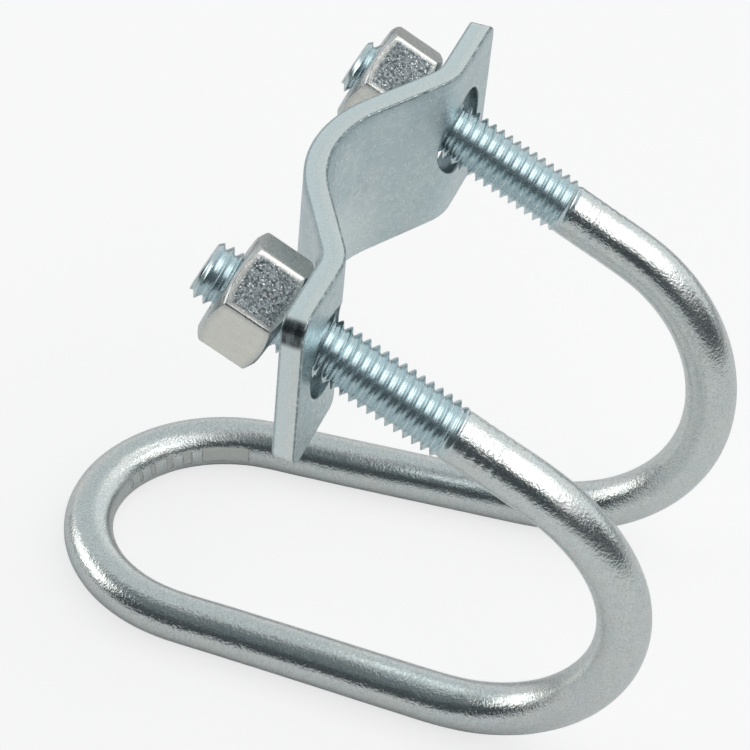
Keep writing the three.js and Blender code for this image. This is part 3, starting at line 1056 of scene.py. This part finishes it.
def zinc_nut(g, seed):
    """Satin, slightly warm zinc on a cold-formed nut, with one sandy flat."""
    lay = g.vmath("ADD", g.attr("lay", "Vector"), (seed * 17.0, seed * 3.0, seed * 5.0))
    wall = g.attr("tag")
    sandy = g.attr("sandy")
    mottle = g.noise(lay, scale=1.2, detail=4.0, rough=0.6)
    grain = g.noise(lay, scale=5.0, detail=3.0, rough=0.65)
    fine = g.noise(lay, scale=12.0)
    sand = g.cells(lay, scale=4.5, feature="SMOOTH_F1")
    dark = g.patches(lay, scale=3.4, detail=3.0, rough=0.65, span=(0.56, 0.70))

    base = g.mix(g.ramp(mottle, span=(0.3, 0.7)), (0.76, 0.755, 0.72), (0.69, 0.69, 0.665))
    base = g.tint(base, dark, (0.50, 0.495, 0.47), amount=0.35)
    # painted light: some flats are painted lighter and warmer
    base = g.mix(g.ramp(g.attr("tone"), span=(0.0, 1.0)), base, (0.94, 0.92, 0.845))
    face = g.mix(g.ramp(grain, span=(0.3, 0.7)), (0.72, 0.765, 0.78), (0.82, 0.84, 0.84))
    colour = g.mix(g.ramp(wall, span=(0.2, 0.8)), face, base)
    # painted shade on the bearing side's chamfer
    colour = g.tint(colour, g.attr("lee"), (0.15, 0.20, 0.22), amount=0.75)
    # painted shade and painted glints: sand-like crystals, most painted dark as if tilted away, a few
    # painted as catching the light
    grit = g.noise(lay, scale=3.4, detail=4.0, rough=0.70)
    glint = g.times(g.patches(lay, scale=5.6, rough=0.6, span=(0.575, 0.65)),
                    g.patches(lay, scale=0.8, span=(0.35, 0.65), to=(0.45, 1.0)))
    deep = g.mix(g.ramp(grit, span=(0.34, 0.66)), (0.075, 0.09, 0.102), (0.34, 0.385, 0.405))
    deep = g.tint(deep, glint, (0.97, 0.98, 0.97), amount=0.8)
    colour = g.mix(sandy, colour, deep)

    rough = g.add(g.ramp(mottle, span=(0.3, 0.7), to=(0.24, 0.34)), (dark, 0.10))
    rough = g.blend(sandy, rough, g.blend(glint, 0.42, 0.20))

    height = g.add(g.times(mottle, 0.035), (grain, 0.030), (fine, 0.006), (sand, 0.018))
    height = g.times(height, g.ramp(wall, span=(0.0, 0.9), to=(0.35, 0.7)))
    height = g.add(height, (sandy, g.times(grit, 0.085)))
    return colour, rough, height


# ------------------------------------------------------------------ the pieces
rod = make_object("bent_rod", build_rod(), sharp_deg=42)
rod.data.materials.append(metal("rod_zinc", zinc_rod))
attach(rod, "u_bolt")
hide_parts("u_bolt")

plate = make_object("pressed_plate", build_plate(), sharp_deg=40)
plate.data.materials.append(metal("plate_zinc", zinc_plate))
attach(plate, "saddle")
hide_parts("saddle_plate")

for side, seed in (("front", 1), ("rear", 2)):
    nut = make_object("nut_" + side + "_body", build_nut(side), sharp_deg=33)
    nut.data.materials.append(metal("nut_" + side + "_zinc", lambda g: zinc_nut(g, seed)))
    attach(nut, "nut_" + side)
    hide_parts("hex_nut_" + side)


# ------------------------------------------------------------------ floor
FLOOR_HALF = 2                         # metres
FLOOR_Z = -0.0001


def floor_material():
    """Bright white to the camera; to the metal a grey that darkens away from the middle."""
    mat = bpy.data.materials.new("floor_white")
    mat.use_nodes = True
    g = Graph(mat.node_tree)

    def mix_shader(factor, a, b):
        return g.filled(g.node("ShaderNodeMixShader"), factor, a, b)

    distance = g.node("ShaderNodeVectorMath", operation="LENGTH")
    g.put(distance.inputs[0], g.node("ShaderNodeNewGeometry").outputs["Position"])
    reflected = g.node("ShaderNodeBsdfDiffuse")
    g.put(reflected.inputs["Color"], g.mix(g.ramp(distance.outputs["Value"], span=(0.14, 0.34)),
                                           (0.80, 0.805, 0.81), (0.15, 0.165, 0.17)))
    glow = g.node("ShaderNodeEmission")
    glow.inputs["Color"].default_value = (1.0, 1.0, 1.0, 1)
    glow.inputs["Strength"].default_value = 1.05
    white = g.node("ShaderNodeBsdfDiffuse")
    white.inputs["Color"].default_value = (0.95, 0.95, 0.95, 1)
    # the white diffuse share is what lets shadows show
    seen = mix_shader(0.30, glow.outputs[0], white.outputs[0])
    is_camera = g.node("ShaderNodeLightPath").outputs["Is Camera Ray"]
    out = g.node("ShaderNodeOutputMaterial")
    g.put(out.inputs["Surface"], mix_shader(is_camera, reflected.outputs[0], seen))
    return mat


mesh = bpy.data.meshes.new("floor")
corners = [(x * FLOOR_HALF, y * FLOOR_HALF, FLOOR_Z) for x, y in ((-1, -1), (1, -1), (1, 1), (-1, 1))]
mesh.from_pydata(corners, [], [(0, 1, 2, 3)])
floor = bpy.data.objects.new("floor", mesh)
bpy.context.scene.collection.objects.link(floor)
mesh.materials.append(floor_material())

# ------------------------------------------------------------------ studio light
# Soft panels on the sky, each over the ones before it. In degrees: azimuth from and to (may
# pass 180), elevation from and to, softness of azimuth and elevation; then the colour.
PANELS = [
    ((70, 175), (20, 95), (12, 10), (0.52, 0.57, 0.58)),
    ((15, 95), (-30, 40), (12, 8), (0.74, 0.78, 0.78)),
    ((-170, 28), (-25, 6), (14, 8), (0.36, 0.40, 0.41)),
    ((-165, -48), (-4, 43), (6, 4), (0.060, 0.071, 0.077)),
    ((-50, 18), (-2, 21), (8, 4), (0.070, 0.082, 0.088)),
    ((-185, -82), (38, 74), (7, 6), (0.15, 0.18, 0.19)),
    ((30, 66), (36, 74), (8, 5), (0.98, 1.0, 0.98)),
    ((-50, 40), (37, 74), (5, 4), (2.0, 2.0, 1.96)),
    ((158, 212), (-3, 9), (6, 3), (0.09, 0.10, 0.105)),
    ((167, 206), (9, 36), (5, 4), (1.75, 1.77, 1.72)),
]


def build_world():
    world = bpy.data.worlds.new("studio")
    bpy.context.scene.world = world
    world.use_nodes = True
    g = Graph(world.node_tree)
    direction = g.node("ShaderNodeTexCoord").outputs["Generated"]
    x, y, z = g.split(g.vmath("NORMALIZE", direction))
    to_degrees = 180 / math.pi
    azimuth = g.times(g.math("ARCTAN2", y, x), to_degrees)
    elevation = g.times(g.math("ARCSINE", z), to_degrees)

    sky = g.ramp(elevation, span=(55, 90), to=(0.66, 0.45))
    sky = g.mix(1.0, (0, 0, 0), sky)
    for (az0, az1), (el0, el1), (az_soft, el_soft), colour in PANELS:
        middle, half = (az0 + az1) / 2, (az1 - az0) / 2
        off = g.math("WRAP", g.math("SUBTRACT", azimuth, middle), 180.0, -180.0)
        mask = g.times(
            g.ramp(g.math("ABSOLUTE", off), span=(half - az_soft, half + az_soft), to=(1.0, 0.0)),
            g.ramp(elevation, span=(el0 - el_soft, el0 + el_soft)),
            g.ramp(elevation, span=(el1 - el_soft, el1 + el_soft), to=(1.0, 0.0)))
        sky = g.mix(mask, sky, colour)
    background = g.node("ShaderNodeBackground")
    g.put(background.inputs["Color"], sky)
    background.inputs["Strength"].default_value = 1.0
    out = g.node("ShaderNodeOutputWorld")
    g.put(out.inputs["Surface"], background.outputs[0])


build_world()
bpy.context.scene.view_settings.view_transform = "Standard"
bpy.context.scene.view_settings.look = "None"

# ------------------------------------------------------------------ camera
cam = bpy.data.cameras.new("camera")
cam.lens = 132.102
cam.sensor_width = 36.0
cam.sensor_fit = "HORIZONTAL"
cam.clip_start = 0.01
cam.clip_end = 20
camera = bpy.data.objects.new("camera", cam)
# columns: the camera's right, its up, the direction behind it, and its place in metres
camera.matrix_world = Matrix((
    (0.94305, -0.23115, 0.23924, 0.066373),
    (0.33229, 0.62063, -0.71021, -0.196252),
    (0.01569, 0.74926, 0.66210, 0.212931),
    (0, 0, 0, 1),
))
bpy.context.scene.collection.objects.link(camera)
bpy.context.scene.camera = camera

bpy.context.view_layer.update()
